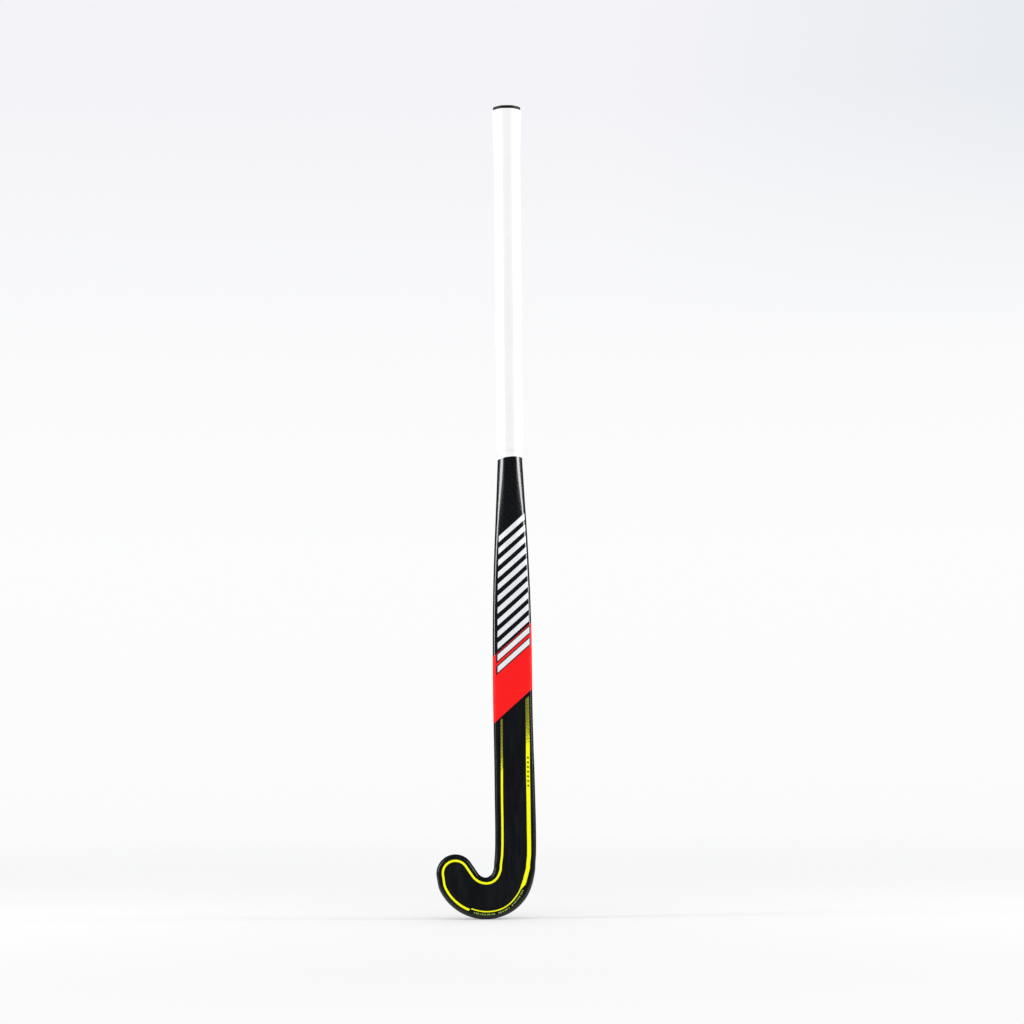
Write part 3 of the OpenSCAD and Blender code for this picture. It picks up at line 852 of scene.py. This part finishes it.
# Dashes outside the sole line, in three groups, and ticks on the broad stripe
DASHES, DASHES_LEFT_OUT = 27, (9, 16)
DASH_TURNS = (32, 104)
DASH_LENGTH, DASH_VARIATION = 1.6, 0.5
DASH_SHIFTS = (-3.9, -3.1, -2.3)
TICKS, TICK_BOTTOM, TICK_PITCH = 7, 145.5, 5.2
TICK_HEIGHT, TICK_HALF = 1.8, 0.9
# Distances of the lines' middles from the edge, by height on the shaft or by turn on the head
toe_insets = curve([[HEAD_RADIUS, 7.7], [72, 8.2], [140, 8.25], [180, 8.65], [230, 9.2]])
crook_insets = curve([
    [0, 7.7], [32, 7.55], [64, 7], [80, 6.4], [96, 5.9], [112, 5.95], [FLANK_TURN, 6.5],
    [TOE_TURN, 6.6],
])
tip_insets = curve([[0, 6.6], [120, 6.9], [180, 7.5]])
front_insets = curve([[111, 7.25], [140, 7.2], [TOE_TURN, 7.5]])
heel_insets = curve([
    [HEAD_RADIUS, 8.2], [70, 7.9], [100, 8.1], [125, 7.85], [160, 7.4], [180, 6.85],
    [200, 6.25], [250, 5.9],
])
heel_end_insets = curve([[0, 8.2], [8, 9], [16, 9.4], [26, 9.6], [33, 9.35]])
sole_insets = curve([
    [26, 11.1], [32, 10.85], [40, 10.45], [48, 9.94], [56, 9.23], [64, 8.64], [72, 8.36],
    [88, 8.6], [110, 9.3],
])


def on_face(x, z, inset, proud):
    """Points a little in front of the face."""
    return np.stack([x, middle_y(z) + front_depth(inset) - proud, z], -1)


def shaft_line(side, insets, z, shift):
    """Points of the face at heights z, beside the toe edge (side -1) or the heel edge (side 1)."""
    inset = insets(z) + shift
    return shaft_x(z) + side * (shaft_half(z) - inset), z, inset


def bend_line(side, insets, turn, shift):
    """Points of the face round the head, beside the throat (side -1) or the sole (side 1)."""
    inset = insets(turn) + shift
    reach = outer_reach(turn) - inset if side > 0 else inner_reach(turn, -inset)
    return (*head_place(reach, turn), inset)


def tip_line(turn, shift):
    """Points round the tip of the toe, from turn 0 on the crook's side to 180 on the sole's."""
    inset = tip_insets(turn) + shift
    r = TOE_RADIUS - inset
    onward, outer = r * sin(turn), r * cos(turn)
    flank = -(r - onward * sin(FLANK_ANGLE)) / cos(FLANK_ANGLE)
    straight = (turn < 90) & (onward < r * sin(FLANK_ANGLE))
    reach = TOE_REACH + np.where(straight, flank, -outer)
    return (*toe_place(reach, onward), inset)


def ribbon(columns, keep=None):
    """Film on the face through columns of (x, z, inset) points, one column for each shift."""
    x, z, inset = (np.stack([column[i] for column in columns], 1) for i in range(3))
    return film(on_face(x, z, inset, PROUD), on_face(x, z, inset, -SUNK), keep)


def chained(*lines):
    """One column of points from several that follow each other."""
    return [np.concatenate([line[i] for line in lines]) for i in range(3)]


def build_toe_stripe(finish):
    """Down the shaft, through the crook and round the toe, to an angled end on the sole."""
    columns = []
    for share in np.linspace(-0.5, 0.5, 5):
        shift = share * THIN
        end = mix(*TOE_LINE_ENDS, share + 0.5)
        columns.append(chained(
            shaft_line(-1, toe_insets, np.linspace(TOE_TOP, HEAD_RADIUS + 2, 32), shift),
            bend_line(-1, crook_insets, np.linspace(0, TOE_TURN - 1, 70), shift),
            tip_line(np.linspace(0, 180, 60), shift),
            bend_line(1, front_insets, np.linspace(TOE_TURN - 1, end, 30), shift),
        ))
    points, faces = ribbon(columns)
    make_piece("toe_pinstripe", points, faces, finish, ["toe_stripe"])


def build_heel_stripe(finish):
    """Broad stripe down the heel side, ending in an angled cut beside the sole line."""
    columns = []
    for share in (-0.5, -0.35, -0.15, 0.05, 0.2, 0.35, 0.5):
        end = mix(*HEEL_LINE_ENDS, min(1, (share + 0.5) / 0.7))
        columns.append(chained(
            shaft_line(1, heel_insets, np.linspace(HEEL_TOP, HEAD_RADIUS + 2, 40), share * THICK),
            bend_line(1, heel_end_insets, np.linspace(0, end, 24), share * THICK),
        ))
    points, faces = ribbon(columns)
    make_piece("heel_pinstripe", points, faces, finish, ["heel_stripe"])


def build_sole_stripe(finish):
    """Thin line along the sole, from the heel stripe's tip towards the toe stripe's end."""
    start = HEEL_LINE_ENDS[1] + 0.05
    columns = [
        bend_line(1, sole_insets, np.linspace(start, mix(*SOLE_LINE_ENDS, share), 60),
                  (share - 0.5) * SOLE)
        for share in np.linspace(0, 1, 4)
    ]
    points, faces = ribbon(columns)
    make_piece("sole_line", points, faces, finish, ["sole_stripe"])


def build_fade(name, side, insets, width, bottom, top, finish, node):
    """Printed squares that close up into the solid stripe, with a slanted upper end."""
    across = round(width / SQUARE_WIDE)
    along = round((top - bottom) / SQUARE_HIGH)
    columns = []
    for share in np.linspace(-0.5, 0.5, across + 1):
        cut = top - SLANT * side * share * width
        columns.append(shaft_line(side, insets, np.linspace(bottom, cut, along + 1), share * width))
    cover = mix(TOP_COVER, BOTTOM_COVER, (1 - np.arange(along) / along) ** COVER_POWER)
    pattern = DITHER[np.arange(along)[:, None] % 4, np.arange(across)[None] % 4]
    points, faces = ribbon(columns, pattern < cover[:, None])
    make_piece(name, points, faces, finish, [node])


def build_sole_marks(finish):
    """Row of small dashes outside the sole line, in groups."""
    parts = []
    for i, turn in enumerate(np.linspace(*DASH_TURNS, DASHES)):
        if i in DASHES_LEFT_OUT:
            continue
        end = turn + DASH_LENGTH + DASH_VARIATION * sin(i * 137)
        turns = np.linspace(turn, end, 4)
        parts.append(ribbon([bend_line(1, sole_insets, turns, s) for s in DASH_SHIFTS]))
    points, faces = join(parts)
    make_piece("sole_dashes", points, faces, finish, ["sole_marks"])


def build_shaft_marks(finish):
    """Row of small black ticks on the broad stripe."""
    parts = []
    for i in range(TICKS):
        heights = TICK_BOTTOM + i * TICK_PITCH + np.linspace(0, TICK_HEIGHT, 3)
        grid = [
            np.stack([
                on_face(*shaft_line(1, heel_insets, heights, shift), proud)
                for shift in (-TICK_HALF, 0, TICK_HALF)
            ], 1)
            for proud in (2 * PROUD, 0.0)
        ]
        parts.append(film(*grid))
    points, faces = join(parts)
    make_piece("stripe_ticks", points, faces, finish, ["shaft_marks"])


# ---- Stage, light and camera ------------------------------------------------------------------
FLOOR_RADIUS = 2.4
# Share of the floor that is lit paper instead of an even glow, from the stick outwards
FLOOR_SHARES = [(0.0, 0.7), (0.12, 0.7), (0.38, 0.15), (0.9, 0.0)]
# How much the lit paper counts against the glow, and the strength of the glow in reflections
FLOOR_GAIN = 1.125
FLOOR_GLINT = 0.4
# Tones of the floor from front to back, between two depths in metres
FLOOR_DEPTHS = (-1.0, 2.4)
FLOOR_TONES = [
    (0.0, (0.981, 0.982, 0.994)), (0.26, (0.967, 0.968, 0.975)), (0.38, (0.946, 0.948, 0.953)),
    (0.57, (0.946, 0.948, 0.957)), (0.79, (0.955, 0.957, 0.965)), (0.98, (0.962, 0.963, 0.967)),
]


# Tones of the surround, by height of the direction that is looked in
SURROUND_HEIGHTS = (-0.2, 0.4)
SURROUND_TONES = [
    (-0.2, (0.962, 0.963, 0.967)), (-0.04, (0.962, 0.963, 0.967)), (0.012, (0.973, 0.974, 0.978)),
    (0.074, (0.975, 0.977, 0.981)), (0.136, (0.962, 0.963, 0.970)), (0.197, (0.937, 0.939, 0.956)),
    (0.26, (0.905, 0.900, 0.938)), (0.4, (0.913, 0.907, 0.945)),
]
# The surround darkens towards its upper right
SHADED_HEIGHTS, SHADED_SIDE = (0.16, 0.26), (0.04, 0.205)
SHADED_TONE = (0.897, 0.929, 0.934, 1)
# Soft light from all round, and what glossy surfaces reflect of the surround
AMBIENT, AMBIENT_COLOUR = 0.96, (0.99, 0.995, 1.0, 1)
FLAGS, FLAGS_COLOUR = 0.05, (0.5, 0.52, 0.56, 1)
# Two upright softboxes: turn from the camera's side in degrees, then metres
SOFTBOX_TURN = 87
SOFTBOX_DISTANCE, SOFTBOX_HEIGHT = 1.4, 0.98
SOFTBOX_SIZE = (0.27, 1.27)
SOFTBOX_RADIANCE = 9.5
# Long lens at the photographer's place; yaw, pitch and roll in degrees
CAMERA_LENS = 84.53
CAMERA_PLACE = (0.0331, -2.70, 0.2096)
CAMERA_TURN = (0.0, 5.161, -0.554)


def build_floor():
    """Round pale floor that runs out into the background's tone."""
    rings = np.concatenate([[0.0], np.geomspace(0.05, FLOOR_RADIUS, 28)])
    a = ring_angles(96)
    points = [(r * cos(t), r * sin(t), 0.0) for r in rings[1:] for t in a] + [(0, 0, 0)]
    faces = ring_walls(len(rings) - 1, len(a))
    faces += [(j, (j + 1) % len(a), len(points) - 1) for j in range(len(a))]
    mesh = bpy.data.meshes.new("floor")
    mesh.from_pydata([tuple(map(float, p)) for p in points], [], faces)
    floor = bpy.data.objects.new("floor", mesh)
    bpy.context.scene.collection.objects.link(floor)
    f = Finish("floor_paper", Roughness=0.9, Specular_IOR_Level=0.0)
    f.use(Base_Color=f.shades(f.noise(2.0), (0.3, 0.86), (0.7, 0.87)))
    length = f.add("VectorMath", {0: f.place}, operation="LENGTH").outputs["Value"]
    lit = f.shades(f.math("DIVIDE", length, FLOOR_RADIUS), *FLOOR_SHARES)
    tone = f.shades(f.levels(f.parts(f.place)[1], *FLOOR_DEPTHS, 0, 1), *FLOOR_TONES)
    mirrored = f.add("LightPath").outputs["Is Glossy Ray"]
    # lit * FLOOR_GAIN + (1 - lit) * rest = 1, so that the tone stays the same where they mix
    rest = f.math("DIVIDE", f.math("SUBTRACT", 1.0, f.math("MULTIPLY", lit, FLOOR_GAIN)),
                  f.math("SUBTRACT", 1.0, lit))
    strength = f.math("MULTIPLY", rest, f.levels(mirrored, 0, 1, 1.0, FLOOR_GLINT))
    glow = f.add("Emission", {"Color": tone, "Strength": strength}).outputs[0]
    mixed = f.add("MixShader", {0: lit, 1: glow, 2: f.shader.outputs[0]}).outputs[0]
    f.connect(f.tree.nodes["Material Output"], {"Surface": mixed})
    mesh.materials.append(f.material)


def build_world():
    """Pale surround for the camera and soft light; dark in reflections, as black flags make it."""
    world = bpy.data.worlds.new("studio")
    bpy.context.scene.world = world
    world.use_nodes = True
    w = Nodes(world.node_tree)
    across, _, height = w.parts(w.add("TexCoord").outputs["Generated"])
    low, high = SURROUND_HEIGHTS
    stops = [((rise - low) / (high - low), colour) for rise, colour in SURROUND_TONES]
    tone = w.shades(w.levels(height, low, high, 0, 1), *stops)
    corner = w.levels(across, *SHADED_SIDE, 0, w.levels(height, *SHADED_HEIGHTS, 0, 1))
    shaded = w.add("Mix", {0: corner, 6: tone, 7: SHADED_TONE}, data_type="RGBA",
                   blend_type="MULTIPLY").outputs[2]
    seen = w.tree.nodes["Background"]
    w.connect(seen, {"Color": shaded})
    soft = w.add("Background", {"Color": AMBIENT_COLOUR, "Strength": AMBIENT})
    dark = w.add("Background", {"Color": FLAGS_COLOUR, "Strength": FLAGS})
    path = w.add("LightPath").outputs
    unseen = w.add(
        "MixShader", {0: path["Is Glossy Ray"], 1: soft.outputs[0], 2: dark.outputs[0]}
    )
    surround = w.add(
        "MixShader", {0: path["Is Camera Ray"], 1: unseen.outputs[0], 2: seen.outputs[0]}
    )
    w.connect(w.tree.nodes["World Output"], {"Surface": surround.outputs[0]})


def build_softbox(name, turn):
    """Upright area light at a turn from the camera's side round the stick, facing the handle."""
    light = bpy.data.lights.new(name, "AREA")
    light.shape = "RECTANGLE"
    light.size, light.size_y = SOFTBOX_SIZE
    light.energy = SOFTBOX_RADIANCE * light.size * light.size_y * math.pi
    light.color = (1.0, 0.985, 0.99)
    lamp = bpy.data.objects.new(name, light)
    bpy.context.scene.collection.objects.link(lamp)
    t = math.radians(turn)
    lamp.location = (
        HANDLE_X * MM + SOFTBOX_DISTANCE * math.sin(t),
        HANDLE_Y * MM - SOFTBOX_DISTANCE * math.cos(t),
        SOFTBOX_HEIGHT,
    )
    lamp.rotation_euler = (math.pi / 2, 0, t)


def build_camera():
    camera = bpy.data.cameras.new("camera")
    camera.sensor_width = 36
    camera.lens = CAMERA_LENS
    camera.clip_start, camera.clip_end = 0.05, 50
    view = bpy.data.objects.new("camera", camera)
    bpy.context.scene.collection.objects.link(view)
    yaw, pitch, roll = (math.radians(v) for v in CAMERA_TURN)
    turn = Matrix.Rotation(yaw, 4, "Z") @ Matrix.Rotation(math.pi / 2 + pitch, 4, "X")
    view.matrix_world = Matrix.Translation(CAMERA_PLACE) @ turn @ Matrix.Rotation(roll, 4, "Z")
    bpy.context.scene.camera = view


# ---- Assembly ---------------------------------------------------------------------------------
def repaint(node, finish):
    """Gives a CAD node that stays a better finish."""
    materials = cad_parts[node].data.materials
    materials.clear()
    materials.append(finish)


build_shaft_shell(glossy_carbon())
build_head_shell(satin_carbon())
build_grip(grip_skin())
build_end_tape(tape_skin())
build_cap(rubber("cap_rubber", 0.003, 0.006))

red = print_film("red_print", (0.985, 0.007, 0.007), (1.0, 0.009, 0.010), coat=0.05, specular=0.15)
white = print_film("white_print", (0.80, 0.83, 0.86), (0.90, 0.92, 0.94))
yellow = print_film(
    "yellow_print", (0.96, 0.98, 0.001), (0.985, 1.0, 0.003), (0.34, 0.46), 0.05, 0.15
)
black = print_film("black_print", (0.006, 0.007, 0.009), (0.011, 0.012, 0.015), (0.3, 0.4))
build_band(red)
build_bars("bar_outlines", range(BARS_ON_BAND), BAR_DEPTH + 2 * KEYLINE,
           (BAR_SPAN[0] - KEYLINE_SPREAD, BAR_SPAN[1] + KEYLINE_SPREAD),
           lambda i: PROUD + KEYLINE_LIFT, black, "bar_keylines")
build_bars("front_bars", range(BAR_COUNT), BAR_DEPTH, BAR_SPAN,
           lambda i: PROUD + (BAR_LIFT if i < BARS_ON_BAND else 0), white,
           "shaft_bars")
build_bars("rear_bars", range(BARS_ON_BAND, BAR_COUNT), BAR_DEPTH, BACK_BAR_SPAN,
           lambda i: PROUD, white, "back_bars")
build_toe_stripe(yellow)
build_heel_stripe(yellow)
build_sole_stripe(yellow)
build_fade("toe_fade", -1, toe_insets, THIN, TOE_TOP, TOE_FADE_TOP,
           fading_film("toe_fade_print", TOE_TOP, TOE_FADE_TOP), "toe_stripe_fade")
build_fade("heel_fade", 1, heel_insets, THICK, HEEL_TOP, HEEL_FADE_TOP,
           fading_film("heel_fade_print", HEEL_TOP, HEEL_FADE_TOP), "heel_stripe_fade")
build_sole_marks(print_film("dash_print", (0.24, 0.36, 0.03), (0.34, 0.50, 0.05)))
build_shaft_marks(black)

repaint("shaft_web", inner_laminate())
repaint("head_core", foam("head_foam", (0.50, 0.38, 0.17), (0.70, 0.57, 0.30)))
repaint("handle_core", foam("handle_foam", (0.62, 0.52, 0.30), (0.80, 0.70, 0.46)))
repaint("face_ply", aramid())
repaint("heel_insert", rubber("heel_rubber", (0.02, 0.11, 0.035), (0.04, 0.17, 0.06)))
repaint("damper_sleeve", rubber("damper_rubber", 0.035, 0.055))
repaint("butt_collar", collar_plastic())
repaint("grip_underlay", cushion_foam())

build_floor()
build_world()
build_softbox("softbox_left", -SOFTBOX_TURN)
build_softbox("softbox_right", SOFTBOX_TURN)
build_camera()
bpy.context.scene.view_settings.view_transform = "Standard"
